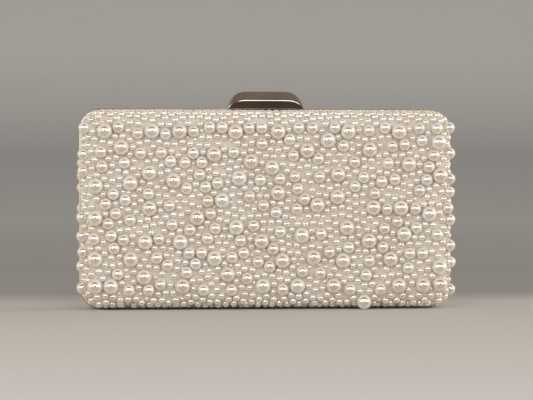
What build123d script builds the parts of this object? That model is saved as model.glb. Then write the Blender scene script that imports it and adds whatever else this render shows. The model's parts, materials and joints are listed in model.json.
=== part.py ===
from build123d import *
import math
import os

import numpy as np

os.makedirs("parts", exist_ok=True)

# An evening bag: a rigid box clutch in two pearl-covered halves, hinged along the bottom and
# held by a half-moon clasp on top. Millimetres, +Z up, the front faces -Y, the bag stands on
# Z = 0, and the two halves meet at Y = 0. The front half is drawn, and the back mirrors it.

# Covered trays
cover_width = 188.0
cover_height = 97.0
cover_corner = 7.5
half_depth = 18.0
face_fillet = 5.5
wall_draft = 3.0
fabric_thickness = 0.5
shell_thickness = 1.6
lining_thickness = 0.6
lining_start = 4.8

# Metal frames round the two mouths
rim_stand = 4.0
rim_width = 5.0
mating_gap = 0.15
web_back = 1.75
flange_inset = 7.1
leg_inset = 3.1
leg_back = 4.0
leg_fit = 0.15
rim_round = 0.8
rim_inner_round = 0.25

# Hinges along the bottom
opening_angle = 64.0
pivot_height = 2.2
knuckle_radius = 1.9
knuckle_clearance = 0.3
hinge_pin_radius = 0.7
running_clearance = 0.05
hinge_positions = {"left": -55.0, "right": 55.0}
hinge_length = 24.0
knuckle_count = 5
knuckle_gap = 0.25
leaf_thickness = 0.8
leaf_top = 10.7

# Rivets
rivet_radius = 0.8
rivet_head_radius = 1.4
rivet_head_height = 0.6
rivet_head_taper = 30.0
hinge_rivet_spread = 7.0
hinge_rivet_height = 9.2

# Clasp
clasp_seat_depth = 0.8
clasp_lift = 0.5
lever_width = 40.0
lever_height = 9.6
lever_corner = 9.4
lever_half_depth = 4.8
lever_bulge_height = 1.5
side_clearance = 0.4
slot_half_width = 5.6
slot_back = 5.3
clasp_pivot_y = 3.8
clasp_pivot_drop = 5.3
clasp_pin_radius = 0.8
pin_head_radius = 1.0
pin_head_height = 0.5
clasp_barrel_radius = 1.7
clasp_barrel_right = 3.2
clasp_bore_reach = 12.0
arm_width = 10.0
arm_front = 2.1
arm_back = 3.6
arm_socket = 2.0
hook_width = 7.0
hook_under_drop = 1.7
hook_over_drop = 0.3
nose_front = -4.5
nose_back = -3.3
nose_bottom_drop = 3.9
catch_top_drop = 3.0
plate_top_drop = 3.3
catch_bottom_drop = 11.3
bracket_bottom_drop = 12.8
ear_bottom_drop = 8.3
bracket_half_width = 16.0
ear_back = 6.4
ear_position = 8.5
plate_thickness = 1.0
catch_rivet_x = 9.5
catch_rivet_drop = 5.9
catch_plate_margin = 2.5
catch_tongue_inset = 0.5
bracket_rivet_x = 13.0
bracket_rivet_drop = 5.1
spring_radius = 1.6
spring_bore_radius = 1.1
spring_end_gap = 0.3

# Loops for a shoulder chain, inside the back half
loop_hole_radius = 1.75
loop_hole_inset = 4.0
loop_width = 7.0
loop_thickness = 1.2
loop_height = 84.0
loop_edge_gap = 0.3

# Slip pocket
pocket_width = 112.0
pocket_height = 58.0
pocket_bottom = 16.0
pocket_depth = 2.2
pocket_wall = 0.6

# Pearls
pearl_radius = {"large": 4.0, "medium": 3.2, "small": 2.0, "tiny": 1.4}
pearl_count = {"large": 60, "medium": 135, "small": 835, "tiny": 70}
pearl_sink = 0.3
pearl_gap = 0.12
least_gap = 0.04
edge_room = {"large": 8.5, "medium": 6.5, "small": -1.0, "tiny": -1.0}
side_room = {"large": 5.0, "medium": -1.0, "small": -1.0, "tiny": -1.0}
clasp_side_room = 1.5
pearl_sweep_limit = {"front": 5.12, "back": 7.9}
pearl_seeds = {"front": 7, "back": 11}
base_pearl_x = {"front": [50.0], "back": [-50.0, 50.0]}
sample_count = 150000
sampling_shell = 2.0
spot_choices = 12
push_rounds = 600
push_strength = 0.6

centre_height = rim_stand + cover_height / 2
cover_top = rim_stand + cover_height
frame_top = 2 * rim_stand + cover_height
seat_height = frame_top - clasp_seat_depth
lever_base = seat_height + clasp_lift
wall_total = fabric_thickness + shell_thickness
clasp_pivot_z = cover_top - clasp_pivot_drop
hook_under = cover_top - hook_under_drop
hook_over = cover_top - hook_over_drop
nose_bottom = cover_top - nose_bottom_drop
catch_top = cover_top - catch_top_drop
plate_top = cover_top - plate_top_drop
catch_rivet_z = cover_top - catch_rivet_drop
bracket_rivet_z = cover_top - bracket_rivet_drop
ear_inner = ear_position - plate_thickness / 2
ear_outer = ear_position + plate_thickness / 2
loop_rivet_x = cover_width / 2 - (leg_inset + flange_inset) / 2
loop_hole_x = cover_width / 2 - flange_inset - loop_hole_inset
pocket_back = half_depth - wall_total - lining_thickness


def rounded_outline(inset):
    """The bag's rounded outline, inset from the cover's outer surface, in the open sketch."""
    with Locations((0, centre_height)):
        RectangleRounded(cover_width - 2 * inset, cover_height - 2 * inset, cover_corner - inset)


def tray_block(inset):
    """A solid front tray, inset from the cover's outer surface, from the frame to its face."""
    with BuildPart() as block:
        with BuildSketch(Plane.XZ.offset(web_back)):
            rounded_outline(inset)
        extrude(amount=half_depth - inset - web_back, taper=wall_draft)
        fillet(block.faces().sort_by(Axis.Y)[0].edges(), face_fillet - inset)
    return block.part


def box_between(low, high, mode=Mode.ADD):
    """A box from its lowest to its highest corner, in the open part."""
    size = [b - a for a, b in zip(low, high)]
    middle = tuple((a + b) / 2 for a, b in zip(low, high))
    with Locations(middle):
        Box(*size, mode=mode)


def rod_along_x(radius, start, end, y, z, mode=Mode.ADD):
    """A round bar along X, in the open part."""
    with BuildSketch(Plane.YZ.offset(start)) as section:
        with Locations((y, z)):
            Circle(radius)
    extrude(section.sketch, amount=end - start, mode=mode)


def rod_along_y(radius, start, end, x, z, mode=Mode.ADD):
    """A round bar from Y = start towards -Y, in the open part."""
    with BuildSketch(Plane.XZ.offset(-start)) as section:
        with Locations((x, z)):
            Circle(radius)
    extrude(section.sketch, amount=start - end, mode=mode)


def finish(name, part):
    """Labels a finished piece and writes its file."""
    part.label = name
    export_step(part, f"parts/{name}.step")


def mirrored(part):
    """The same piece on the other half of the bag."""
    with BuildPart() as twin:
        mirror(part, about=Plane.XZ)
    return twin.part


def clasp_slot():
    """Cuts the passage for the clasp's arm and hook through the top, in the open part."""
    low = (-slot_half_width, -slot_back, cover_top - leg_inset)
    high = (slot_half_width, slot_back, frame_top + 1)
    box_between(low, high, mode=Mode.SUBTRACT)


# Trays: fabric cover, moulded shell and satin lining
with BuildPart() as front_cover:
    add(tray_block(0))
    add(tray_block(fabric_thickness), mode=Mode.SUBTRACT)
    clasp_slot()
finish("front_cover", front_cover.part)
finish("back_cover", mirrored(front_cover.part))

with BuildPart() as front_shell:
    add(tray_block(fabric_thickness))
    add(tray_block(wall_total), mode=Mode.SUBTRACT)
    clasp_slot()
finish("front_shell", front_shell.part)
finish("back_shell", mirrored(front_shell.part))

with BuildPart() as front_lining:
    add(tray_block(wall_total))
    add(tray_block(wall_total + lining_thickness), mode=Mode.SUBTRACT)
    box_between((-cover_width, -lining_start, 0), (cover_width, 0, frame_top), mode=Mode.SUBTRACT)
finish("front_lining", front_lining.part)
finish("back_lining", mirrored(front_lining.part))


# Frames
def hinge_relief(middle):
    """Cuts the seats of one hinge's knuckles, leaf and rivets into the open frame."""
    half = hinge_length / 2 + knuckle_gap
    rod_along_x(
        knuckle_radius + knuckle_clearance, middle - half, middle + half, 0, pivot_height, Mode.SUBTRACT
    )
    low = (middle - half, -mating_gap - leaf_thickness, pivot_height)
    high = (middle + half, 0, leaf_top + knuckle_gap)
    box_between(low, high, mode=Mode.SUBTRACT)
    for spread in (-hinge_rivet_spread, hinge_rivet_spread):
        rod_along_y(rivet_radius, 0, -web_back, middle + spread, hinge_rivet_height, Mode.SUBTRACT)


with BuildPart() as plain_frame:
    with BuildSketch(Plane.XZ.offset(mating_gap)):
        rounded_outline(-rim_stand)
    extrude(amount=rim_width - mating_gap)
    fillet(plain_frame.faces().sort_by(Axis.Y)[0].edges(), rim_round)
    fillet(plain_frame.faces().sort_by(Axis.Y)[-1].edges(), rim_inner_round)
    with BuildSketch(Plane.XZ):
        rounded_outline(flange_inset)
    extrude(amount=rim_width, mode=Mode.SUBTRACT)
    with BuildSketch(Plane.XZ.offset(web_back)):
        rounded_outline(leg_inset)
    extrude(amount=rim_width, mode=Mode.SUBTRACT)
    add(tray_block(0), mode=Mode.SUBTRACT)
    # the short leg inside the tray's walls
    with BuildSketch(Plane.XZ.offset(web_back)) as leg_ring:
        rounded_outline(wall_total + leg_fit)
        with Locations((0, centre_height)):
            RectangleRounded(
                cover_width - 2 * leg_inset,
                cover_height - 2 * leg_inset,
                cover_corner - leg_inset,
                mode=Mode.SUBTRACT,
            )
    extrude(amount=leg_back - web_back)
    # the bottom edges fall away, so the halves can turn about the hinge until they meet again
    with BuildSketch(Plane.YZ.offset(-cover_width)):
        apex = pivot_height + knuckle_clearance
        spread = 2 * apex * math.tan(math.radians(opening_angle / 2))
        with BuildLine():
            Polyline((0, apex), (-spread, -apex), (spread, -apex), close=True)
        make_face()
    extrude(amount=2 * cover_width, mode=Mode.SUBTRACT)
    for middle in hinge_positions.values():
        hinge_relief(middle)
    # the seat under the clasp and the passage of its arm
    low = (-lever_width / 2 - side_clearance, -rim_width, seat_height)
    box_between(low, (lever_width / 2 + side_clearance, 0, frame_top + 1), mode=Mode.SUBTRACT)
    clasp_slot()

with BuildPart() as front_frame:
    add(plain_frame.part)
    for x in (-catch_rivet_x, catch_rivet_x):
        rod_along_y(rivet_radius, 0, -web_back, x, catch_rivet_z, Mode.SUBTRACT)
finish("front_frame", front_frame.part)

with BuildPart() as back_frame:
    mirror(plain_frame.part, about=Plane.XZ)
    for x in (-bracket_rivet_x, bracket_rivet_x):
        rod_along_y(rivet_radius, web_back, 0, x, bracket_rivet_z, Mode.SUBTRACT)
    for x in (-loop_rivet_x, loop_rivet_x):
        rod_along_y(rivet_radius, web_back, 0, x, loop_height, Mode.SUBTRACT)
finish("back_frame", back_frame.part)


# Hinges: five knuckles each, the outer and middle ones on the back leaf, which holds the pin
def knuckle_span(middle, index):
    """The two ends along X of one knuckle."""
    pitch = hinge_length / knuckle_count
    start = middle - hinge_length / 2 + index * pitch
    return start + knuckle_gap / 2, start + pitch - knuckle_gap / 2


def hinge_leaf(middle, own, hole_radius):
    """A front leaf with its own knuckles, cleared round the other leaf's, and bored for the pin."""
    with BuildPart() as leaf:
        low = (middle - hinge_length / 2, -mating_gap - leaf_thickness, pivot_height)
        box_between(low, (middle + hinge_length / 2, -mating_gap, leaf_top))
        for index in range(knuckle_count):
            start, end = knuckle_span(middle, index)
            if index not in own:
                clear = knuckle_radius + knuckle_clearance
                rod_along_x(
                    clear, start - knuckle_gap, end + knuckle_gap, 0, pivot_height, Mode.SUBTRACT
                )
        for index in own:
            start, end = knuckle_span(middle, index)
            rod_along_x(knuckle_radius, start, end, 0, pivot_height)
        rod_along_x(
            hole_radius, middle - hinge_length, middle + hinge_length, 0, pivot_height, Mode.SUBTRACT
        )
        for spread in (-hinge_rivet_spread, hinge_rivet_spread):
            rod_along_y(rivet_radius, 0, -web_back, middle + spread, hinge_rivet_height, Mode.SUBTRACT)
    return leaf.part


for side, middle in hinge_positions.items():
    front_leaf = hinge_leaf(middle, (1, 3), hinge_pin_radius + running_clearance)
    finish(f"front_hinge_leaf_{side}", front_leaf)
    back_leaf = mirrored(hinge_leaf(middle, (0, 2, 4), hinge_pin_radius))
    finish(f"back_hinge_leaf_{side}", back_leaf)
    with BuildPart() as hinge_pin:
        start, _ = knuckle_span(middle, 0)
        _, end = knuckle_span(middle, knuckle_count - 1)
        rod_along_x(hinge_pin_radius, start, end, 0, pivot_height)
    finish(f"hinge_pin_{side}", hinge_pin.part)


def rivet(x, z, front, back):
    """A rivet along Y with a flush front end and a domed head behind, in the open part."""
    rod_along_y(rivet_radius, front, back, x, z)
    with BuildSketch(Plane.XZ.offset(-back)) as head:
        with Locations((x, z)):
            Circle(rivet_head_radius)
    extrude(head.sketch, amount=rivet_head_height, taper=rivet_head_taper)


with BuildPart() as front_hinge_rivets:
    for middle in hinge_positions.values():
        for spread in (-hinge_rivet_spread, hinge_rivet_spread):
            rivet(middle + spread, hinge_rivet_height, -mating_gap, -web_back)
finish("front_hinge_rivets", front_hinge_rivets.part)
finish("back_hinge_rivets", mirrored(front_hinge_rivets.part))

# Catch plate on the front frame, with its rivets
with BuildPart() as catch_plate:
    half = catch_rivet_x + catch_plate_margin
    low = (-half, -web_back - plate_thickness, cover_top - catch_bottom_drop)
    box_between(low, (half, -web_back, plate_top))
    box_between(
        (catch_tongue_inset - slot_half_width, -web_back - plate_thickness, plate_top),
        (slot_half_width - catch_tongue_inset, -web_back, catch_top),
    )
    for x in (-catch_rivet_x, catch_rivet_x):
        rod_along_y(rivet_radius, 0, -rim_width, x, catch_rivet_z, Mode.SUBTRACT)
finish("catch_plate", catch_plate.part)

with BuildPart() as catch_rivets:
    for x in (-catch_rivet_x, catch_rivet_x):
        rivet(x, catch_rivet_z, -mating_gap, -web_back - plate_thickness)
finish("catch_rivets", catch_rivets.part)

# Clasp bracket: a plate on the back frame with two ears that hold the clasp's pin
with BuildPart() as clasp_bracket:
    low = (-bracket_half_width, web_back, cover_top - bracket_bottom_drop)
    box_between(low, (bracket_half_width, web_back + plate_thickness, plate_top))
    ear_bottom = cover_top - ear_bottom_drop
    box_between((-ear_inner, 0, ear_bottom), (ear_inner, ear_back, cover_top), mode=Mode.SUBTRACT)
    for x in (-ear_position, ear_position):
        low = (x - plate_thickness / 2, web_back, ear_bottom)
        box_between(low, (x + plate_thickness / 2, ear_back, plate_top))
    rod_along_x(
        clasp_pin_radius,
        -clasp_bore_reach,
        clasp_bore_reach,
        clasp_pivot_y,
        clasp_pivot_z,
        Mode.SUBTRACT,
    )
    for x in (-bracket_rivet_x, bracket_rivet_x):
        rod_along_y(rivet_radius, rim_width, 0, x, bracket_rivet_z, Mode.SUBTRACT)
finish("clasp_bracket", clasp_bracket.part)

with BuildPart() as bracket_rivets_front:
    for x in (-bracket_rivet_x, bracket_rivet_x):
        rivet(x, bracket_rivet_z, -mating_gap, -web_back - plate_thickness)
finish("bracket_rivets", mirrored(bracket_rivets_front.part))

with BuildPart() as clasp_pin:
    rod_along_x(clasp_pin_radius, -ear_outer, ear_outer, clasp_pivot_y, clasp_pivot_z)
    for start in (-ear_outer - pin_head_height, ear_outer):
        rod_along_x(pin_head_radius, start, start + pin_head_height, clasp_pivot_y, clasp_pivot_z)
finish("clasp_pin", clasp_pin.part)

# Clasp: half-moon lever over both frames, its arm and hook, and the return spring
with BuildPart() as clasp_lever:
    with BuildSketch(Plane.XZ.offset(-2 * lever_half_depth)) as half_moon:
        with Locations((0, lever_base + lever_height / 2)):
            Rectangle(lever_width, lever_height)
        fillet(half_moon.vertices().group_by(Axis.Y)[-1], lever_corner)
    extrude(amount=4 * lever_half_depth)
    with BuildSketch(Plane.YZ.offset(-lever_width)) as crown:
        with Locations((0, lever_base + lever_bulge_height)):
            Ellipse(lever_half_depth, lever_height - lever_bulge_height)
    extrude(amount=2 * lever_width, mode=Mode.INTERSECT)
    low = (-arm_width / 2, arm_front, lever_base)
    box_between(low, (arm_width / 2, arm_back, lever_base + arm_socket), mode=Mode.SUBTRACT)
finish("clasp_lever", clasp_lever.part)

with BuildPart() as clasp_hook:
    barrel_left = -ear_inner + knuckle_gap
    rod_along_x(
        clasp_barrel_radius, barrel_left, clasp_barrel_right, clasp_pivot_y, clasp_pivot_z
    )
    low = (-arm_width / 2, arm_front, clasp_pivot_z)
    box_between(low, (clasp_barrel_right, arm_back, hook_under))
    low = (-arm_width / 2, arm_front, hook_under)
    box_between(low, (arm_width / 2, arm_back, lever_base + arm_socket))
    box_between((-hook_width / 2, nose_front, hook_under), (hook_width / 2, arm_front, hook_over))
    box_between((-hook_width / 2, nose_front, nose_bottom), (hook_width / 2, nose_back, hook_under))
    rod_along_x(
        clasp_pin_radius + running_clearance,
        -clasp_bore_reach,
        clasp_bore_reach,
        clasp_pivot_y,
        clasp_pivot_z,
        Mode.SUBTRACT,
    )
finish("clasp_hook", clasp_hook.part)

with BuildPart() as clasp_spring:
    left = clasp_barrel_right + spring_end_gap
    right = ear_inner - spring_end_gap
    rod_along_x(spring_radius, left, right, clasp_pivot_y, clasp_pivot_z)
    rod_along_x(spring_bore_radius, left, right, clasp_pivot_y, clasp_pivot_z, Mode.SUBTRACT)
finish("clasp_spring", clasp_spring.part)


# Loops for a shoulder chain, riveted to the back frame's flange at the sides
def strap_loop(sign):
    """A small riveted tab with a hole, on one side of the back frame."""
    with BuildPart() as tab:
        with BuildSketch(Plane.XZ.offset(-web_back - loop_thickness)):
            with Locations((sign * (loop_hole_x + loop_rivet_x) / 2, loop_height)):
                SlotOverall(loop_rivet_x - loop_hole_x + loop_width, loop_width)
        extrude(amount=loop_thickness)
        for radius, x in ((loop_hole_radius, loop_hole_x), (rivet_radius, loop_rivet_x)):
            rod_along_y(radius, rim_width, 0, sign * x, loop_height, Mode.SUBTRACT)
        outside = cover_width / 2 - leg_inset - loop_edge_gap
        low = (min(sign * outside, sign * cover_width), 0, 0)
        high = (max(sign * outside, sign * cover_width), rim_width, frame_top)
        box_between(low, high, mode=Mode.SUBTRACT)
    return tab.part


finish("strap_loop_left", strap_loop(-1))
finish("strap_loop_right", strap_loop(1))

with BuildPart() as loop_rivets_front:
    for x in (-loop_rivet_x, loop_rivet_x):
        rivet(x, loop_height, -mating_gap, -web_back - loop_thickness)
finish("loop_rivets", mirrored(loop_rivets_front.part))

# Slip pocket on the back lining: a thin panel with an open top
with BuildPart() as inner_pocket:
    low = (-pocket_width / 2, pocket_back - pocket_depth, pocket_bottom)
    box_between(low, (pocket_width / 2, pocket_back, pocket_bottom + pocket_height))
    low = (
        pocket_wall - pocket_width / 2,
        pocket_back - pocket_depth + pocket_wall,
        pocket_bottom + pocket_wall,
    )
    high = (pocket_width / 2 - pocket_wall, pocket_back, pocket_bottom + pocket_height)
    box_between(low, high, mode=Mode.SUBTRACT)
finish("inner_pocket", inner_pocket.part)


# Pearls: they sit on the front cover, whose outside is a wall with draft, a fillet and a face
slope = math.radians(wall_draft)
arc_depth = half_depth - face_fillet
arc_inset = face_fillet / math.cos(slope) + (arc_depth - web_back) * math.tan(slope)


def on_cover(points):
    """The nearest places on the front cover's outside, and its outward normals there."""
    core = (cover_width / 2 - cover_corner, cover_height / 2 - cover_corner)
    plan = points[:, ::2] - (0.0, centre_height)
    outside = np.sign(plan) * np.maximum(np.abs(plan) - core, 0)
    reach = np.linalg.norm(outside, axis=1)
    direction = outside / np.maximum(reach, 1e-9)[:, None]
    from_arc = np.stack([reach - cover_corner + arc_inset, -points[:, 1] - arc_depth], axis=1)
    bend = np.clip(np.arctan2(from_arc[:, 1], from_arc[:, 0]), slope, math.pi / 2)
    bend = np.where(from_arc[:, 0] > 0, bend, math.pi / 2)
    lean = np.stack([np.cos(bend), np.sin(bend)], axis=1)
    lift = face_fillet - np.sum(from_arc * lean, axis=1)
    normals = np.stack(
        [direction[:, 0] * lean[:, 0], -lean[:, 1], direction[:, 1] * lean[:, 0]], axis=1
    )
    return points + normals * lift[:, None], normals


def seat(centres, radius, edge_room, side_room, sweep_limit):
    """Moves pearls to the nearest places on the cover where their size is allowed."""
    points, _ = on_cover(centres)
    high = np.abs(points[:, 0]) < lever_width / 2 + clasp_side_room + radius
    high &= points[:, 2] > centre_height
    depth_limit = radius + np.where(high, sweep_limit, rim_width + pearl_gap)
    x_limit = cover_width / 2 - side_room
    z_limit = cover_height / 2 - edge_room
    points[:, 0] = np.clip(points[:, 0], -x_limit, x_limit)
    points[:, 1] = np.minimum(points[:, 1], -depth_limit)
    points[:, 2] = np.clip(points[:, 2], centre_height - z_limit, centre_height + z_limit)
    points, normals = on_cover(points)
    return points + normals * (radius - pearl_sink)[:, None]


def scattered_points(chance):
    """Points spread evenly over the front cover's outside."""
    low = (-cover_width / 2 - sampling_shell, -half_depth - sampling_shell, rim_stand - sampling_shell)
    high = (cover_width / 2 + sampling_shell, -rim_width, cover_top + sampling_shell)
    points = chance.uniform(low, high, size=(sample_count, 3))
    seats, _ = on_cover(points)
    near = np.linalg.norm(points - seats, axis=1) < sampling_shell
    return seats[near]


def frame_row():
    """Places of a row of small pearls along the frame, a pearl's width apart."""
    turn = np.linspace(0, 2 * math.pi, 20000)
    away = cover_width * np.stack([np.cos(turn), np.sin(turn)], axis=1)
    core = (cover_width / 2 - cover_corner, cover_height / 2 - cover_corner)
    middle = np.clip(away, np.negative(core), core)
    outward = away - middle
    row_inset = (rim_width + pearl_radius["small"] - web_back) * math.tan(slope)
    reach = cover_corner - row_inset + pearl_radius["small"] - pearl_sink
    line = middle + outward / np.linalg.norm(outward, axis=1)[:, None] * reach
    walked = np.append(0, np.cumsum(np.linalg.norm(np.diff(line, axis=0), axis=1)))
    count = int(walked[-1] / (2 * pearl_radius["small"] + pearl_gap))
    stops = walked[-1] * np.arange(count) / count
    x = np.interp(stops, walked, line[:, 0])
    z = np.interp(stops, walked, line[:, 1]) + centre_height
    return np.stack([x, np.full(count, -rim_width), z], axis=1)


def clearance(points, radius, centres, radii):
    """The smallest gap from each of some equal pearls to any placed pearl."""
    away = np.linalg.norm(points[:, None] - centres[None], axis=2)
    return (away - radii - radius).min(axis=1)


def push_apart(centres, radii, rooms, pinned):
    """Slides overlapping pearls over the cover until they only touch."""
    for turn in range(push_rounds):
        if turn % 10 == 0:
            away = np.linalg.norm(centres[:, None] - centres[None], axis=2)
            near = away < radii[:, None] + radii[None] + 2 * pearl_gap + 1
            first, second = np.nonzero(np.triu(near, 1))
        apart = centres[first] - centres[second]
        distance = np.linalg.norm(apart, axis=1)
        overlap = np.maximum(radii[first] + radii[second] + pearl_gap - distance, 0)
        push = apart / distance[:, None] * overlap[:, None] * push_strength
        weight = radii[first] ** 2 / (radii[first] ** 2 + radii[second] ** 2)
        move = np.zeros_like(centres)
        np.add.at(move, first, push * (1 - weight)[:, None])
        np.add.at(move, second, -push * weight[:, None])
        move[:pinned] = 0
        centres[pinned:] = seat(centres + move, radii, *rooms)[pinned:]
    return centres


def pack_pearls(seed, base_pearls, sweep_limit):
    """Packs one half with pearls: a row along the frame, then sizes mixed and pushed apart, then
    small and tiny ones in the gaps that are left. Returns the centres and their sizes."""
    chance = np.random.default_rng(seed)
    spots = scattered_points(chance)

    def rooms_of(sizes):
        edge = np.array([edge_room[size] for size in sizes])
        side = np.array([side_room[size] for size in sizes])
        return edge, side, sweep_limit

    row = frame_row()
    in_sweep = np.abs(row[:, 0]) < lever_width / 2 + clasp_side_room + pearl_radius["small"]
    row = row[~(in_sweep & (row[:, 2] > centre_height) & (sweep_limit > rim_width + 1))]
    radii = np.full(len(row), pearl_radius["small"])
    row = seat(row, radii, *rooms_of(["small"] * len(row)))
    large = np.full(len(base_pearls), pearl_radius["large"])
    row = row[clearance(row, pearl_radius["small"], base_pearls, large) > least_gap]
    centres = np.concatenate([base_pearls, row])
    sizes = ["large"] * len(base_pearls) + ["small"] * len(row)
    pinned = len(sizes)
    for size, count in pearl_count.items():
        radius = pearl_radius[size]
        for _ in range(count):
            some = spots[chance.integers(len(spots), size=spot_choices)]
            spread = np.full(len(some), radius)
            some = seat(some, spread, *rooms_of([size] * len(some)))
            radii = np.array([pearl_radius[name] for name in sizes])
            best = some[np.argmax(clearance(some, radius, centres, radii))]
            centres = np.concatenate([centres, [best]])
            sizes.append(size)
    radii = np.array([pearl_radius[name] for name in sizes])
    centres = push_apart(centres, radii, rooms_of(sizes), pinned)

    kept = list(range(pinned))
    for index in range(pinned, len(sizes)):
        gaps = np.linalg.norm(centres[kept] - centres[index], axis=1) - radii[kept] - radii[index]
        if gaps.min() > least_gap:
            kept.append(index)
    centres = centres[kept]
    sizes = [sizes[index] for index in kept]
    for size in ("small", "tiny"):
        radius = pearl_radius[size]
        spread = np.full(len(spots), radius)
        places = seat(spots, spread, *rooms_of([size] * len(spots)))
        radii = np.array([pearl_radius[name] for name in sizes])
        batches = np.array_split(places, 40)
        gaps = np.concatenate([clearance(batch, radius, centres, radii) for batch in batches])
        while gaps.max() > least_gap:
            best = places[np.argmin(np.where(gaps > least_gap, gaps, np.inf))]
            away = np.linalg.norm(places - best, axis=1) - 2 * radius
            np.minimum(gaps, away, out=gaps)
            centres = np.concatenate([centres, [best]])
            sizes.append(size)
    return centres, sizes


# the bag also stands on a few large pearls, low on the rounded bottom edges
pearl_reach = face_fillet + pearl_radius["large"] - pearl_sink
base_drop = rim_stand + arc_inset - pearl_radius["large"]
base_bend = math.acos(base_drop / pearl_reach)
base_depth = arc_depth + pearl_reach * math.sin(base_bend)

for half_name, seed in pearl_seeds.items():
    base = np.array([(x, -base_depth, pearl_radius["large"]) for x in base_pearl_x[half_name]])
    centres, sizes = pack_pearls(seed, base, pearl_sweep_limit[half_name])
    sizes = ["base"] * len(base) + sizes[len(base) :]
    turned = 1 if half_name == "front" else -1
    for size in ["base", *pearl_radius]:
        spots = [
            (float(x), float(turned * y), float(z))
            for (x, y, z), own in zip(centres, sizes)
            if own == size
        ]
        with BuildPart() as pearls:
            with Locations(*spots):
                Sphere(pearl_radius.get(size, pearl_radius["large"]))
        finish(f"{half_name}_pearls_{size}", pearls.part)
        print(half_name, size, len(spots))
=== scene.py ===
import json
import math

import bmesh
import bpy
import numpy as np
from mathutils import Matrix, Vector


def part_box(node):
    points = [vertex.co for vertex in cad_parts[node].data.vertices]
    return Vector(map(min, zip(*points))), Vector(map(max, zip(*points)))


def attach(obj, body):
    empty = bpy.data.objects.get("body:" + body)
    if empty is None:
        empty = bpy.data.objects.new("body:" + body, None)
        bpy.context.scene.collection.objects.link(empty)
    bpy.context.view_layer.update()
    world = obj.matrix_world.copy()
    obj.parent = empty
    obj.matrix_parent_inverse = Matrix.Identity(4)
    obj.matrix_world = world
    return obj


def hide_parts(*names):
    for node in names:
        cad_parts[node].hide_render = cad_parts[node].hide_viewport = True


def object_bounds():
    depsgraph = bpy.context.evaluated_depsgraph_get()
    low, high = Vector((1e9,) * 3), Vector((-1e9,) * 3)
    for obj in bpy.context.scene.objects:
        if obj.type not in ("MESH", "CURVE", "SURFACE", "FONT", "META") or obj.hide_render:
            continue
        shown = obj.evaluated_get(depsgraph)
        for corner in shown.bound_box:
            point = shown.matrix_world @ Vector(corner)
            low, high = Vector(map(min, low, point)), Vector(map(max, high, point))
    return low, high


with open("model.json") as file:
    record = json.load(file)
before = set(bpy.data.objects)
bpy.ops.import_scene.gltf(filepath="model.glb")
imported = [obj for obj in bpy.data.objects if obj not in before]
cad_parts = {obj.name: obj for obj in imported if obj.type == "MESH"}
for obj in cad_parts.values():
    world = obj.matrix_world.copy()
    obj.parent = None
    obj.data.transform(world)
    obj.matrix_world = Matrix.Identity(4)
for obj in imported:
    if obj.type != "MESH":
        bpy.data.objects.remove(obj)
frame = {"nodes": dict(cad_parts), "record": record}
cad_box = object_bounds()

# The bag stands on the floor at Z = 0, with its front towards -Y. Everything is in metres.
BAG_MIDDLE = (Vector(cad_box[0]) + Vector(cad_box[1])) / 2

# Camera. The sensor's width is in millimetres.
SENSOR_WIDTH = 36.0
VIEW_DISTANCE = 1.0
VIEW_WIDTH = 0.282
VIEW_HEIGHT = 0.057
VIEW_TURN = math.radians(-5.0)
VIEW_SHIFT = 0.0006


def make_camera():
    """A long lens at the height of the bag's middle, a metre in front of it."""
    data = bpy.data.cameras.new("camera")
    data.sensor_width = SENSOR_WIDTH
    data.lens = SENSOR_WIDTH * VIEW_DISTANCE / VIEW_WIDTH
    data.clip_start = 0.01
    camera = bpy.data.objects.new("camera", data)
    bpy.context.scene.collection.objects.link(camera)
    side = math.sin(VIEW_TURN) * VIEW_DISTANCE
    camera.location = (side + VIEW_SHIFT, -math.cos(VIEW_TURN) * VIEW_DISTANCE, VIEW_HEIGHT)
    camera.rotation_euler = (math.pi / 2, 0.0, VIEW_TURN)
    bpy.context.scene.camera = camera


make_camera()


# Materials
def grey(level):
    return (level, level, level)


class Nodes:
    """The node tree of a new material or world, with short ways to add and link nodes."""

    def __init__(self, owner, shader="Principled BSDF"):
        owner.use_nodes = True
        self.owner = owner
        self.tree = owner.node_tree
        self.shader = self.tree.nodes[shader]

    def add(self, kind, **values):
        node = self.tree.nodes.new(kind)
        for key, value in values.items():
            if hasattr(node, key):
                setattr(node, key, value)
            else:
                node.inputs[key.replace("_", " ")].default_value = value
        return node

    def link(self, source, target):
        self.tree.links.new(source, target)

    def set(self, **values):
        for key, value in values.items():
            self.shader.inputs[key.replace("_", " ")].default_value = value

    def ramp(self, source, stops):
        node = self.add("ShaderNodeValToRGB")
        elements = node.color_ramp.elements
        while len(elements) < len(stops):
            elements.new(0.5)
        for element, (place, colour) in zip(elements, stops):
            element.position = place
            element.color = (*colour, 1.0)
        self.link(source, node.inputs["Fac"])
        return node.outputs["Color"]

    def multiply(self, first, second):
        node = self.add("ShaderNodeMath", operation="MULTIPLY")
        self.link(first, node.inputs[0])
        self.link(second, node.inputs[1])
        return node.outputs["Value"]

    def noise(self, place, scale, detail):
        node = self.add("ShaderNodeTexNoise", Scale=scale, Detail=detail)
        self.link(place.outputs["Object"], node.inputs["Vector"])
        return node.outputs["Fac"]

    def bump(self, height, strength, distance):
        node = self.add("ShaderNodeBump", Strength=strength, Distance=distance)
        self.link(height, node.inputs["Height"])
        self.link(node.outputs["Normal"], self.shader.inputs["Normal"])


def new_material(name):
    """A new material's nodes, and the node that gives the places on its surface."""
    m = Nodes(bpy.data.materials.new(name))
    return m, m.add("ShaderNodeTexCoord")


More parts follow.
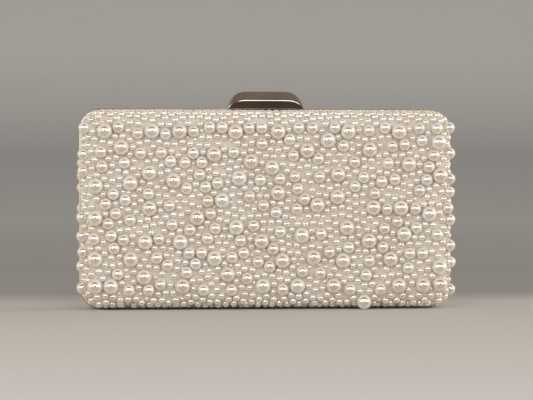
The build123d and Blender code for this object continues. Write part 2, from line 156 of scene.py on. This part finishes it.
def pearl_material():
    """Lacquered imitation pearl, cream under a hard clear coat, with each bead's own tint."""
    m, place = new_material("pearl")
    m.set(Roughness=0.03, Coat_Weight=1.0, Coat_Roughness=0.01, Coat_IOR=1.6)
    m.set(Sheen_Weight=1.0, Sheen_Roughness=0.25)
    # the nacre mirrors the room face on, and is soft and matt towards its rim
    edge = m.add("ShaderNodeLayerWeight", Blend=0.5)
    gloss = [(0.0, grey(0.85)), (0.14, grey(0.8)), (0.25, grey(0.1)), (1.0, grey(0.0))]
    m.link(m.ramp(edge.outputs["Facing"], gloss), m.shader.inputs["Metallic"])
    bead = m.add("ShaderNodeNewGeometry")
    tints = [
        (0.0, (0.90, 0.79, 0.67)),
        (0.25, (0.93, 0.83, 0.72)),
        (0.6, (0.96, 0.87, 0.77)),
        (0.9, (0.97, 0.90, 0.81)),
        (1.0, (0.98, 0.92, 0.84)),
    ]
    m.link(m.ramp(bead.outputs["Random Per Island"], tints), m.shader.inputs["Base Color"])
    m.bump(m.noise(place, 900.0, 3.0), 0.03, 0.0001)
    return m.owner


def metal_material(name, colour, roughness):
    """Polished plated metal, worn duller and paler in places."""
    m, place = new_material(name)
    m.set(Metallic=1.0)
    wear = m.noise(place, 60.0, 5.0)
    dark, plain, light = (tuple(c * share for c in colour) for share in (0.85, 1.0, 1.1))
    tints = [(0.3, dark), (0.5, plain), (0.75, light)]
    m.link(m.ramp(wear, tints), m.shader.inputs["Base Color"])
    dullness = [(0.3, grey(roughness * 0.7)), (0.7, grey(roughness * 1.4))]
    m.link(m.ramp(wear, dullness), m.shader.inputs["Roughness"])
    return m.owner


def fabric_material(name, colour, weave, sheen):
    """Woven cloth: crossing threads a fraction of a millimetre wide."""
    m, place = new_material(name)
    m.set(Roughness=0.75, Sheen_Weight=sheen, Sheen_Roughness=0.4)
    threads = []
    for direction in ("X", "Z"):
        wave = m.add("ShaderNodeTexWave", bands_direction=direction, Scale=weave, Distortion=0.6)
        m.link(place.outputs["Object"], wave.inputs["Vector"])
        threads.append(wave.outputs["Fac"])
    cross = m.multiply(*threads)
    gap = tuple(c * 0.85 for c in colour)
    m.link(m.ramp(cross, [(0.0, gap), (0.6, colour)]), m.shader.inputs["Base Color"])
    m.bump(cross, 0.5, 0.0002)
    return m.owner


def plastic_material():
    """The moulded trays' black plastic."""
    m, place = new_material("moulded_shell")
    m.set(Roughness=0.5)
    grain = m.noise(place, 500.0, 4.0)
    m.link(m.ramp(grain, [(0.3, grey(0.02)), (0.7, grey(0.05))]), m.shader.inputs["Base Color"])
    m.bump(grain, 0.2, 0.0001)
    return m.owner


MATERIALS = {
    "pearl": pearl_material(),
    "cover_fabric": fabric_material("cover_fabric", (0.97, 0.88, 0.78), 1300.0, 0.5),
    "satin_lining": fabric_material("satin_lining", (0.62, 0.52, 0.38), 2200.0, 0.6),
    "moulded_shell": plastic_material(),
    "champagne_metal": metal_material("champagne_metal", (0.78, 0.64, 0.45), 0.22),
    "gunmetal": metal_material("gunmetal", (0.42, 0.32, 0.26), 0.08),
    "spring_steel": metal_material("spring_steel", (0.62, 0.62, 0.62), 0.25),
    "hardware_steel": metal_material("hardware_steel", (0.70, 0.58, 0.40), 0.28),
}
SLOTS = {entry["node"]: entry["material_slot"] for entry in frame["record"]["subparts"]}
for name, node in frame["nodes"].items():
    node.data.materials.clear()
    node.data.materials.append(MATERIALS[SLOTS[name]])


def add_piece(name, mesh, slot):
    """A new smooth object in the scene, with a slot's material."""
    mesh.shade_smooth()
    mesh.materials.append(MATERIALS[slot])
    piece = bpy.data.objects.new(name, mesh)
    bpy.context.scene.collection.objects.link(piece)
    return piece


# Outline of the covered trays, and how high its middle is above the floor
COVER = {"width": 0.188, "height": 0.097, "corner": 0.0075, "middle": 0.0525}

# Pearls: clean lathed beads with drill holes, at the places of the CAD model's beads
PEARL_RADIUS = {"large": 0.004, "base": 0.004, "medium": 0.0032, "small": 0.002, "tiny": 0.0014}
# the segments and rings of a bead of each size
BEAD_MESH = {
    "large": (32, 20),
    "base": (32, 20),
    "medium": (26, 17),
    "small": (20, 13),
    "tiny": (16, 11),
}
BEADS_PER_PIECE = 330
BEAD_SIZE_SPREAD = 0.02
HOLE_RADIUS = 0.00045
HOLE_TAPER = 0.8
HOLE_DEPTH_SHARE = 0.35


def bead_centres(node):
    """The middle of every loose part of a CAD node's mesh."""
    mesh = frame["nodes"][node].data
    points = np.empty(len(mesh.vertices) * 3)
    mesh.vertices.foreach_get("co", points)
    points = points.reshape(-1, 3)
    ends = np.empty(len(mesh.edges) * 2, dtype=np.int64)
    mesh.edges.foreach_get("vertices", ends)
    start, end = ends[0::2], ends[1::2]
    # each point takes the lowest label along its edges, until nothing changes
    label = np.arange(len(points))
    while True:
        lowest = np.minimum(label[start], label[end])
        fresh = label.copy()
        np.minimum.at(fresh, label[start], lowest)
        np.minimum.at(fresh, label[end], lowest)
        fresh = fresh[fresh]
        if np.array_equal(fresh, label):
            break
        label = fresh
    order = np.argsort(label, kind="stable")
    firsts = np.flatnonzero(np.diff(label[order], prepend=-1))
    lows = np.minimum.reduceat(points[order], firsts)
    highs = np.maximum.reduceat(points[order], firsts)
    return (lows + highs) / 2


def bead_shape(radius, segments, rings):
    """One bead on its own Z axis, a ball with a small drill hole at each end: its points, the
    faces round it, and the caps at the bottom of its holes."""
    hole_bend = HOLE_RADIUS / radius
    bends = np.linspace(hole_bend, math.pi - hole_bend, rings)
    profile = [(math.sin(b) * radius, math.cos(b) * radius) for b in bends]
    rim_radius, rim_height = profile[0]
    depth = rim_height - HOLE_DEPTH_SHARE * radius
    bottom_radius = rim_radius * HOLE_TAPER
    profile = [(bottom_radius, depth)] + profile + [(bottom_radius, -depth)]
    turns = np.arange(segments) * 2 * math.pi / segments
    points = [(r * math.cos(t), r * math.sin(t), z) for r, z in profile for t in turns]
    quads = []
    for ring in range(len(profile) - 1):
        a = ring * segments
        b = a + segments
        for step in range(segments):
            following = (step + 1) % segments
            quads.append((a + step, b + step, b + following, a + following))
    top = np.arange(segments)
    bottom = top[::-1] + (len(profile) - 1) * segments
    return np.array(points), np.array(quads), np.array([top, bottom])


def bead_piece(name, centres, outward, size, chance):
    """One mesh of many beads, each with its drill hole lying along the cloth."""
    points, quads, caps = bead_shape(PEARL_RADIUS[size], *BEAD_MESH[size])
    count = len(centres)
    # each bead's axis lies in the cloth, in its own direction
    axis = chance.normal(size=(count, 3))
    axis -= outward * np.sum(axis * outward, axis=1)[:, None]
    axis /= np.linalg.norm(axis, axis=1)[:, None]
    side = np.cross(outward, axis)
    turned = (
        points[None, :, 0:1] * outward[:, None, :]
        + points[None, :, 1:2] * side[:, None, :]
        + points[None, :, 2:3] * axis[:, None, :]
    )
    shrink = 1.0 - chance.uniform(0.0, BEAD_SIZE_SPREAD, size=(count, 1, 1))
    verts = (turned * shrink + centres[:, None, :]).reshape(-1, 3)
    shift = (np.arange(count) * len(points))[:, None, None]
    quad_loops = (quads[None] + shift).reshape(-1)
    cap_loops = (caps[None] + shift).reshape(-1)
    loops = np.concatenate([quad_loops, cap_loops]).astype(np.int32)
    quad_starts = np.arange(count * len(quads)) * quads.shape[1]
    cap_starts = len(quad_loops) + np.arange(count * len(caps)) * caps.shape[1]
    starts = np.concatenate([quad_starts, cap_starts]).astype(np.int32)
    mesh = bpy.data.meshes.new(name)
    mesh.vertices.add(len(verts))
    mesh.vertices.foreach_set("co", verts.ravel())
    mesh.loops.add(len(loops))
    mesh.loops.foreach_set("vertex_index", loops)
    mesh.polygons.add(len(starts))
    mesh.polygons.foreach_set("loop_start", starts)
    mesh.update(calc_edges=True)
    mesh.validate()
    return add_piece(name, mesh, "pearl")


def cloth_normals(centres, half):
    """The outward direction of the cloth under each bead, from the cover's box and corners."""
    cover_low, cover_high = (np.array(corner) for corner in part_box(f"{half}_cover"))
    corner = COVER["corner"]
    inner_low = cover_low + (corner, 0, corner)
    inner_high = cover_high - (corner, 0, corner)
    if half == "front":
        inner_low[1] = cover_low[1] + corner
    else:
        inner_high[1] = cover_high[1] - corner
    away = centres - np.clip(centres, inner_low, inner_high)
    return away / np.linalg.norm(away, axis=1)[:, None]


def make_pearls():
    """Every pearl of both halves, split into pieces that stay light."""
    chance = np.random.default_rng(5)
    for half in ("front", "back"):
        for size in PEARL_RADIUS:
            node = f"{half}_pearls_{size}"
            centres = bead_centres(node)
            centres = centres[np.argsort(centres[:, 0])]
            outward = cloth_normals(centres, half)
            pieces = math.ceil(len(centres) / BEADS_PER_PIECE)
            bounds = np.linspace(0, len(centres), pieces + 1).astype(int)
            for number in range(pieces):
                part = slice(bounds[number], bounds[number + 1])
                name = f"{half}_beads_{size}_{number + 1}"
                piece = bead_piece(name, centres[part], outward[part], size, chance)
                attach(piece, half)
                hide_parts(node)


make_pearls()


# Clasp lever: a half-moon with two facets in front and two behind
LEVER_BASE = 0.1047
LEVER_HEIGHT = 0.0096
LEVER_WIDTH = 0.040
LEVER_CORNER = 0.0094
LEVER_HALF_DEPTH = 0.0048
LEVER_BEVEL = 0.0006
LEVER_SECTIONS = 100


def ring_faces(count, around):
    """The four-sided faces between a count of rings, each with the same points around it."""
    faces = []
    for ring in range(count - 1):
        a = ring * around
        b = a + around
        for step in range(around):
            following = (step + 1) % around
            faces.append((a + step, a + following, b + following, b + step))
    return faces


def closed_grid(name, rings, slot):
    """A closed piece through rings of equal length, with a cap at each end."""
    count, around, _ = rings.shape
    faces = ring_faces(count, around)
    faces.append(tuple(reversed(range(around))))
    faces.append(tuple((count - 1) * around + step for step in range(around)))
    points = rings.reshape(-1, 3)
    mesh = bpy.data.meshes.new(name)
    mesh.from_pydata(points.tolist(), [], faces)
    mesh.validate()
    middle = Vector(np.mean(points, axis=0))
    if sum(face.area * face.normal.dot(face.center - middle) for face in mesh.polygons) < 0:
        mesh.flip_normals()
    return add_piece(name, mesh, slot)


def curve_between(start, pull, end, steps):
    """Points of a smooth bend from start to end, pulled towards a corner."""
    shares = np.linspace(0, 1, steps)[:, None]
    start, pull, end = (np.array(point) for point in (start, pull, end))
    return (1 - shares) ** 2 * start + 2 * shares * (1 - shares) * pull + shares**2 * end


def lever_profile():
    """Half of the lever's section as shares of its depth and height: a broken foot, an upright
    lower facet, a crease at mid-height, and an upper facet that leans back to a round top."""
    return np.concatenate(
        [
            curve_between((0.95, 0.0), (1.0, 0.0), (1.0, 0.05), 4),
            curve_between((1.0, 0.09), (0.995, 0.3), (0.965, 0.47), 6),
            curve_between((0.96, 0.485), (0.955, 0.51), (0.93, 0.535), 4),
            curve_between((0.91, 0.548), (0.60, 0.78), (0.24, 0.945), 8),
            curve_between((0.21, 0.957), (0.12, 1.0), (0.03, 1.0), 5),
        ]
    )


def make_lever():
    """The clasp's half-moon lever, in sections across its width."""
    reach = LEVER_WIDTH / 2
    straight = reach - LEVER_CORNER
    profile = lever_profile()
    rings = []
    for x in reach * np.sin(np.linspace(-1, 1, LEVER_SECTIONS) * math.pi / 2):
        over = max(abs(x) - straight, 0.0)
        fall = LEVER_CORNER - math.sqrt(max(LEVER_CORNER**2 - over**2, 0.0))
        height = LEVER_HEIGHT - fall
        # the ends thin out where they come down to the frame
        depth = LEVER_HALF_DEPTH - LEVER_BEVEL * max(0.0, 1 - height / (3 * LEVER_BEVEL))
        front = [(x, -y * depth, LEVER_BASE + z * height) for y, z in profile]
        back = [(x, y * depth, LEVER_BASE + z * height) for y, z in profile[::-1]]
        rings.append(front + back)
    lever = closed_grid("clasp_half_moon", np.array(rings), "gunmetal")
    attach(lever, "clasp")
    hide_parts("clasp_lever")


make_lever()


# Return spring: a helix of round wire round the clasp's pin, whose Y and Z are the pivot
SPRING_COIL = 0.00135
SPRING_WIRE = 0.00024
SPRING_TURNS = 8
STEPS_PER_TURN = 24
WIRE_SIDES = 8
CLASP_PIVOT = (0.0038, 0.0957)


def make_spring():
    """The spring's wire, in rings of points along its helix."""
    low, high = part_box("clasp_spring")
    start, end = low[0] + SPRING_WIRE, high[0] - SPRING_WIRE
    steps = SPRING_TURNS * STEPS_PER_TURN
    along = np.array([1.0, 0.0, 0.0])
    rings = []
    for step in range(steps + 1):
        turn = 2 * math.pi * SPRING_TURNS * step / steps
        x = start + (end - start) * step / steps
        radial = np.array([0.0, math.cos(turn), math.sin(turn)])
        centre = np.array([x, *CLASP_PIVOT]) + radial * SPRING_COIL
        ring = [
            centre + SPRING_WIRE * (math.cos(t) * radial + math.sin(t) * along)
            for t in np.linspace(0, 2 * math.pi, WIRE_SIDES, endpoint=False)
        ]
        rings.append(ring)
    spring = closed_grid("return_spring_coil", np.array(rings), "spring_steel")
    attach(spring, "clasp")
    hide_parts("clasp_spring")


make_spring()


# Trays under the cloth. Depths are from the parting plane between the halves.
HALF_DEPTH = 0.018
FACE_FILLET = 0.0055
WEB_BACK = 0.00175
WALL_DRAFT = math.radians(3.0)
FRAME_DEPTH = 0.0052

# Cloth on the trays: covers outside, satin linings inside. The inset is from the cover's outside
# to the cloth's, and the mouth is the depth where the cloth starts.
COVER_CLOTH = {
    "name": "cover_cloth",
    "node": "cover",
    "slot": "cover_fabric",
    "inset": 0.0,
    "thickness": 0.0005,
    "mouth": 0.00185,
}
LINING_CLOTH = {
    "name": "lining_satin",
    "node": "lining",
    "slot": "satin_lining",
    "inset": 0.0021,
    "thickness": 0.0006,
    "mouth": 0.0048,
}
COVER_SWELL = 0.0015
LINING_CROWN = 0.0009
LINING_PUCKER = 0.00028
# where on the way from the face's edge to its middle the puckers are
PUCKER_SHARE = 0.07
# the cloth starts deeper where the clasp passes
NOTCH_HALF_WIDTH = 0.0075
NOTCH_DEPTH = 0.0053
OUTLINE_POINTS = 240
WALL_ROWS = 8
FILLET_ROWS = 9
FACE_ROWS = 26


def tray_line(inset, mouth):
    """Places down one wall of a tray, over its fillet: plan inset, depth and lean of the normal."""
    fillet = FACE_FILLET - inset
    arc_depth = HALF_DEPTH - FACE_FILLET
    slope = math.tan(WALL_DRAFT)
    arc_inset = FACE_FILLET / math.cos(WALL_DRAFT) + (arc_depth - WEB_BACK) * slope
    wall_end = arc_depth + fillet * math.sin(WALL_DRAFT)
    line = []
    for depth in np.linspace(mouth, wall_end, WALL_ROWS + 1)[:-1]:
        inward = inset / math.cos(WALL_DRAFT) + (depth - WEB_BACK) * slope
        line.append((inward, depth, WALL_DRAFT))
    for bend in np.linspace(WALL_DRAFT, math.pi / 2, FILLET_ROWS):
        inward = arc_inset - fillet * math.cos(bend)
        line.append((inward, arc_depth + fillet * math.sin(bend), bend))
    return line


def tray_outline():
    """Points round the bag's outline at equal steps, and their outward directions, in plan."""
    corner = COVER["corner"]
    core = np.array([COVER["width"] / 2 - corner, COVER["height"] / 2 - corner])
    turn = np.linspace(0, 2 * math.pi, 20001)
    away = COVER["width"] * np.stack([np.cos(turn), np.sin(turn)], axis=1)
    middle = np.clip(away, -core, core)
    outward = away - middle
    outward /= np.linalg.norm(outward, axis=1)[:, None]
    line = middle + outward * corner
    walked = np.append(0, np.cumsum(np.linalg.norm(np.diff(line, axis=0), axis=1)))
    stops = walked[-1] * np.arange(OUTLINE_POINTS) / OUTLINE_POINTS
    spots = np.stack([np.interp(stops, walked, line[:, k]) for k in (0, 1)], axis=1)
    ways = np.stack([np.interp(stops, walked, outward[:, k]) for k in (0, 1)], axis=1)
    return spots, ways / np.linalg.norm(ways, axis=1)[:, None]


def tray_surface(inset, mouth, puff):
    """Rings of points over a front tray, from its mouth to its middle. puff(plan, share) is how
    far inwards the cloth lies off the tray, as share goes from the face's edge to its middle."""
    spots, ways = tray_outline()
    line = tray_line(inset, mouth)
    at_clasp = (np.abs(spots[:, 0]) < NOTCH_HALF_WIDTH) & (spots[:, 1] > 0)
    starts = np.where(at_clasp, NOTCH_DEPTH, mouth)
    wall_end = line[WALL_ROWS][1]
    rings = []

    def add_ring(plan, y):
        rings.append(np.stack([plan[:, 0], y, plan[:, 1] + COVER["middle"]], axis=1))

    for inward, depth, bend in line:
        # the rows of the wall crowd together behind the clasp's passage
        later = max(0.0, (wall_end - depth) / (wall_end - mouth)) * (starts - mouth)
        depths = depth + later
        lift = np.where((depths > FRAME_DEPTH) & (depths > starts), puff(spots, 0.0), 0.0)
        inwards = inward + later * math.tan(WALL_DRAFT) + lift * math.cos(bend)
        add_ring(spots - ways * inwards[:, None], -depths + lift * math.sin(bend))
    edge = spots - ways * line[-1][0]
    spine = (COVER["width"] - COVER["height"]) / 2
    centre = np.stack([np.clip(edge[:, 0], -spine, spine), np.zeros(len(edge))], axis=1)
    for share in np.linspace(0, 1, FACE_ROWS)[1:]:
        plan = edge + (centre - edge) * share
        add_ring(plan, -(HALF_DEPTH - inset) + puff(plan, share))
    return np.array(rings)


def tray_sheet(half, cloth, outer_puff, inner_puff):
    """A closed sheet of cloth in the shape of a tray, its hollow side towards the parting plane."""
    inset, mouth = cloth["inset"], cloth["mouth"]
    skin = tray_surface(inset, mouth, outer_puff)
    under = tray_surface(inset + cloth["thickness"], mouth, inner_puff)
    rings = np.concatenate([skin[::-1], under])
    faces = ring_faces(len(rings), OUTLINE_POINTS)
    if half == "back":
        rings[:, :, 1] *= -1
        faces = [face[::-1] for face in faces]
    name = f"{half}_{cloth['name']}"
    mesh = bpy.data.meshes.new(name)
    mesh.from_pydata(rings.reshape(-1, 3).tolist(), [], faces)
    tool = bmesh.new()
    tool.from_mesh(mesh)
    bmesh.ops.remove_doubles(tool, verts=tool.verts, dist=1e-6)
    bmesh.ops.recalc_face_normals(tool, faces=tool.faces)
    tool.to_mesh(mesh)
    tool.free()
    piece = add_piece(name, mesh, cloth["slot"])
    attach(piece, half)
    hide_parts(f"{half}_{cloth['node']}")


def no_puff(plan, share):
    """Cloth that lies flat on its tray."""
    return np.zeros(len(plan))


def cover_puff(plan, share):
    """The cover's cloth swells out between the pearls that are sewn to it."""
    return np.full(len(plan), -COVER_SWELL)


def lining_puff(plan, share):
    """Thin wadding under the satin: a soft crown over the face, with shallow puckers at its rim."""
    x, z = plan[:, 0], plan[:, 1]
    crown = LINING_CROWN * math.sin(min(share * 2.2, 1.0) * math.pi / 2)
    waves = np.sin(x * 38 + 3 * np.sin(z * 61)) * np.cos(z * 47 + 2 * np.sin(x * 33))
    ripple = np.sin(x * 700 + 2 * np.sin(z * 90)) * np.sin(z * 640 + 2 * np.sin(x * 70))
    edge = math.exp(-(((share - PUCKER_SHARE) / PUCKER_SHARE) ** 2))
    return crown * (1 + 0.35 * waves) + LINING_PUCKER * edge * (1 + ripple)


def make_cloth():
    """The covers' and linings' cloth on both halves."""
    for half in ("front", "back"):
        tray_sheet(half, COVER_CLOTH, cover_puff, cover_puff)
        tray_sheet(half, LINING_CLOTH, no_puff, lining_puff)


make_cloth()


# Slip pocket, gathered along its top by a narrow elastic hem. Heights are shares of its own.
POCKET_RISE = 0.0015
POCKET_WALL = 0.0005
POCKET_COLUMNS = 200
POCKET_ROWS = np.concatenate([np.linspace(0, 0.9, 34), np.linspace(0.905, 1.0, 12)])
# how much of its width and height the sewn sides and foot hold down
SEWN_SIDE = 0.03
SEWN_FOOT = 0.05
HEM_START = 0.9
HEM_SWELL = 0.35
HEM_STITCHES = (0.895, 0.912)
STITCH_PINCH = 0.55
# the phase turned by the folds and by their wandering, across the whole width
FOLD_PHASE = 150
WANDER_PHASE = 23


def make_pocket():
    """A gathered satin pocket sewn to the back lining along its sides and bottom."""
    low, high = (np.array(corner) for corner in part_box("inner_pocket"))
    fold_start, wander_start = np.random.default_rng(21).uniform(0, 2 * math.pi, 2)
    across = np.linspace(0, 1, POCKET_COLUMNS)
    x = low[0] + (high[0] - low[0]) * across
    sides = np.minimum(across, 1 - across)
    rows = []
    for up in POCKET_ROWS:
        sewn = np.minimum(1.0, sides / SEWN_SIDE) * min(1.0, up / SEWN_FOOT)
        wander = 1.5 * np.sin(across * WANDER_PHASE + wander_start + 2 * up)
        fold = 0.5 + 0.5 * np.sin(across * FOLD_PHASE + fold_start + wander)
        gather = 0.15 + 0.85 * up**1.5
        hem = HEM_SWELL if up > HEM_START else 0.0
        swell = 0.55 * math.sin(min(up * 1.1, 1.0) * math.pi) + hem
        rise = sewn * POCKET_RISE * (0.35 * swell + 0.6 * fold * gather)
        if HEM_STITCHES[0] < up < HEM_STITCHES[1]:
            rise = rise * STITCH_PINCH
        z = low[2] + (high[2] - low[2]) * up
        rows.append(np.stack([x, high[1] - POCKET_WALL - rise, np.full(len(x), z)], axis=1))
    outside = np.array(rows)
    inside = outside.copy()
    inside[:, :, 1] = np.minimum(outside[:, :, 1] + POCKET_WALL, high[1])
    rings = np.concatenate([outside, inside[:, ::-1]], axis=1)
    pocket = closed_grid("gathered_pocket", rings, "satin_lining")
    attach(pocket, "back")
    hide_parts("inner_pocket")


make_pocket()


# Studio: the pale table turns grey behind the bag, between the two places of the edge given below.
# That grey and the greys up the wall are the backdrop's grey with painted shade and painted light:
# darker low down and lighter up high.
STAGE_HALF_WIDTH = 3.0
STAGE_FRONT = -2.5
STAGE_DEPTH = 2.2
STAGE_BEND = 0.5
STAGE_TOP = 3.0
BEND_STEPS = 12
# where the pale floor turns into the painted shade behind the bag, in metres behind it
SHADED_GREY_EDGE = (0.055, 0.16)
FLOOR_TINT = (0.70, 0.665, 0.62)
# the backdrop's grey, with painted shade behind the bag and at the wall's foot, and painted light
# at the wall's top
BACK_SHADED_GREY = (0.43, 0.415, 0.395)
LOW_WALL_SHADED_GREY = (0.54, 0.53, 0.52)
MIDDLE_WALL_SHADED_GREY = (0.45, 0.44, 0.435)
TOP_WALL_LIT_GREY = (0.67, 0.66, 0.65)


def stage_material():
    """Matt paper with a fine grain, pale in front and grey from behind the bag up the wall, where
    the greys carry painted shade low down and painted light up high.
    """
    m, place = new_material("studio_paper")
    m.set(Roughness=0.9, Specular_IOR_Level=0.2)
    split = m.add("ShaderNodeSeparateXYZ")
    m.link(place.outputs["Object"], split.inputs["Vector"])
    far = m.add("ShaderNodeMapRange", From_Min=0.0, From_Max=STAGE_DEPTH)
    m.link(split.outputs["Y"], far.inputs["Value"])
    start, end = (edge / STAGE_DEPTH for edge in SHADED_GREY_EDGE)
    # painted shade and light: the greys are darker behind the bag and at the wall's foot, and
    # lighter up the wall
    tints = [
        (start, FLOOR_TINT),
        (end, BACK_SHADED_GREY),
        (0.25, BACK_SHADED_GREY),
        (0.84, LOW_WALL_SHADED_GREY),
        (0.925, MIDDLE_WALL_SHADED_GREY),
        (0.98, TOP_WALL_LIT_GREY),
    ]
    fleck = m.ramp(m.noise(place, 350.0, 4.0), [(0.3, grey(0.95)), (0.7, grey(1.0))])
    blend = m.add("ShaderNodeMix", data_type="RGBA", blend_type="MULTIPLY", Factor=1.0)
    # the node has a pair of inputs and an output for each type of value
    first, second = (socket for socket in blend.inputs if socket.type == "RGBA")
    m.link(m.ramp(far.outputs["Result"], tints), first)
    m.link(fleck, second)
    mixed = next(socket for socket in blend.outputs if socket.type == "RGBA")
    m.link(mixed, m.shader.inputs["Base Color"])
    return m.owner


def make_stage():
    """A floor that curves up into a wall far behind the bag."""
    profile = [(STAGE_FRONT, 0.0), (STAGE_DEPTH - STAGE_BEND, 0.0)]
    for step in range(1, BEND_STEPS + 1):
        angle = math.pi / 2 * step / BEND_STEPS
        y = STAGE_DEPTH - STAGE_BEND + STAGE_BEND * math.sin(angle)
        profile.append((y, STAGE_BEND - STAGE_BEND * math.cos(angle)))
    profile.append((STAGE_DEPTH, STAGE_TOP))
    verts = [(x, y, z) for y, z in profile for x in (-STAGE_HALF_WIDTH, STAGE_HALF_WIDTH)]
    faces = [(a, a + 1, a + 3, a + 2) for a in range(0, len(verts) - 2, 2)]
    mesh = bpy.data.meshes.new("studio")
    mesh.from_pydata(verts, [], faces)
    mesh.shade_smooth()
    mesh.materials.append(stage_material())
    stage = bpy.data.objects.new("studio", mesh)
    bpy.context.scene.collection.objects.link(stage)


# Window panes: azimuth (0 is straight in front, positive to the right) and elevation in degrees,
# width and height in metres, and brightness
WINDOW_PANES = [
    (-23, 25, 0.40, 0.26, 5.4),
    (8, 26, 0.34, 0.26, 5.8),
    (-23, 10, 0.40, 0.24, 5.4),
    (22, 10, 0.26, 0.24, 5.8),
]
PANE_DISTANCE = 1.3
PANE_COLOUR = (0.90, 0.95, 1.0)

# Room: its brightness by height, as the sine of the angle above the horizon, and from its left
# side to its right. It darkens in front of the bag, towards the middle of that way.
ROOM_STRENGTH = 1.62
ROOM_TINT = (1.0, 0.95, 0.88)
ROOM_LEVELS = [(0.0, 1.15), (0.2, 1.1), (0.45, 0.78), (0.65, 0.30), (0.85, 0.18), (1.0, 0.22)]
ROOM_SIDES = (0.80, 1.35)
DARK_WAY = (0.0, -0.995, 0.1)
# the cosines of the angles from that way where the dark starts and where it is deepest
DARK_EDGES = (0.50, 0.97)
DARK_LEVEL = 0.06


def make_pane(name, azimuth, elevation, width, height, brightness):
    """One pane of a window, aimed at the bag."""
    data = bpy.data.lights.new(name, "AREA")
    data.shape = "RECTANGLE"
    data.size, data.size_y = width, height
    data.energy = brightness * math.pi * width * height
    data.color = PANE_COLOUR
    light = bpy.data.objects.new(name, data)
    a, e = math.radians(azimuth), math.radians(elevation)
    direction = Vector((math.sin(a) * math.cos(e), -math.cos(a) * math.cos(e), math.sin(e)))
    light.location = BAG_MIDDLE + direction * PANE_DISTANCE
    light.rotation_euler = direction.to_track_quat("Z", "Y").to_euler()
    bpy.context.scene.collection.objects.link(light)


def make_room():
    """The grey room round the bag."""
    world = bpy.data.worlds.new("room")
    bpy.context.scene.world = world
    room = Nodes(world, "Background")
    way = room.add("ShaderNodeTexCoord").outputs["Generated"]
    split = room.add("ShaderNodeSeparateXYZ")
    room.link(way, split.inputs["Vector"])
    levels = [(height, tuple(level * c for c in ROOM_TINT)) for height, level in ROOM_LEVELS]
    room.link(room.ramp(split.outputs["Z"], levels), room.shader.inputs["Color"])
    left, right = (side * ROOM_STRENGTH for side in ROOM_SIDES)
    sides = room.add(
        "ShaderNodeMapRange", From_Min=-1.0, From_Max=1.0, To_Min=left, To_Max=right
    )
    room.link(split.outputs["X"], sides.inputs["Value"])
    facing = room.add("ShaderNodeVectorMath", operation="DOT_PRODUCT")
    facing.inputs[1].default_value = DARK_WAY
    room.link(way, facing.inputs[0])
    start, deepest = DARK_EDGES
    dark = room.add(
        "ShaderNodeMapRange", From_Min=start, From_Max=deepest, To_Min=1.0, To_Max=DARK_LEVEL
    )
    room.link(facing.outputs["Value"], dark.inputs["Value"])
    strength = room.multiply(sides.outputs["Result"], dark.outputs["Result"])
    room.link(strength, room.shader.inputs["Strength"])


make_stage()
for number, pane in enumerate(WINDOW_PANES):
    make_pane(f"pane_{number}", *pane)
make_room()
bpy.context.scene.view_settings.view_transform = "Standard"
